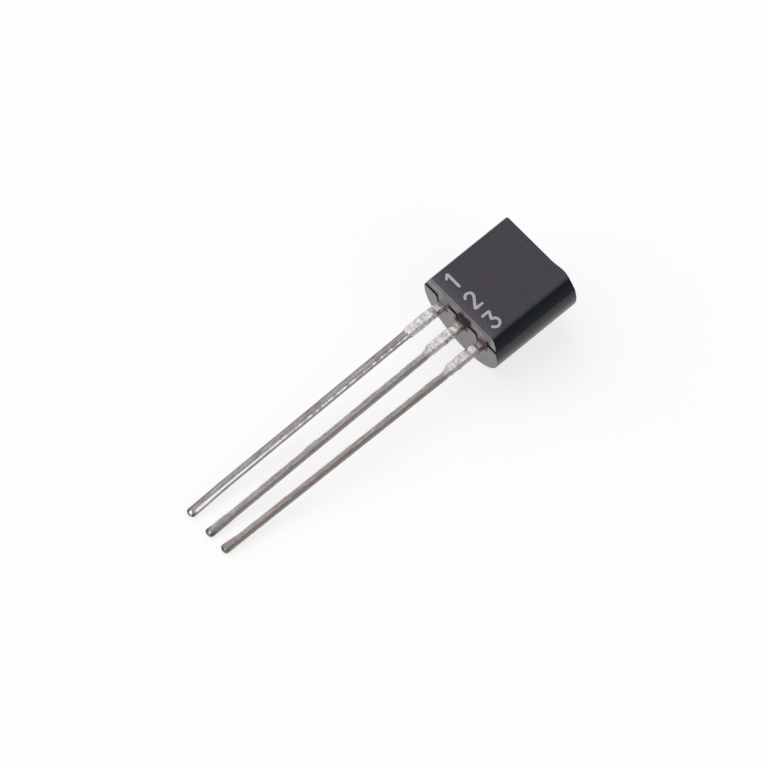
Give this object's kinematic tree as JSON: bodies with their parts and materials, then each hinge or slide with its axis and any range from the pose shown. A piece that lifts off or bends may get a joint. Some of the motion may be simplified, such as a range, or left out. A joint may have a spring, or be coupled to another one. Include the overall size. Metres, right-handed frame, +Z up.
{
  "type": "three-lead transistor",
  "caption": "Small moulded transistor: black half-round body with a flat face, and straight tinned leads side by side from one end.",
  "frame": {"origin": "middle of the part's footprint on the table, at table height, as it lies flat face up", "axes": "+X across the leads from the emitter's side to the base's side, +Y along the table from the lead tips to the body, +Z up out of the table"},
  "size_m": [0.0046, 0.0188, 0.0043],
  "materials": {
    "moulding": "fine matt moulded epoxy",
    "tinned_lead": "solder-dipped tin, satin",
    "silicon": "polished silicon",
    "solder": "matt solder",
    "gold_wire": "drawn gold wire"
  },
  "bodies": {
    "root": {"epoxy_body": "moulding", "lead_emitter": "tinned_lead", "lead_collector": "tinned_lead", "lead_base": "tinned_lead", "silicon_die": "silicon", "die_attach": "solder", "bond_wire_emitter": "gold_wire", "bond_wire_base": "gold_wire"}
  },
  "joints": []
}
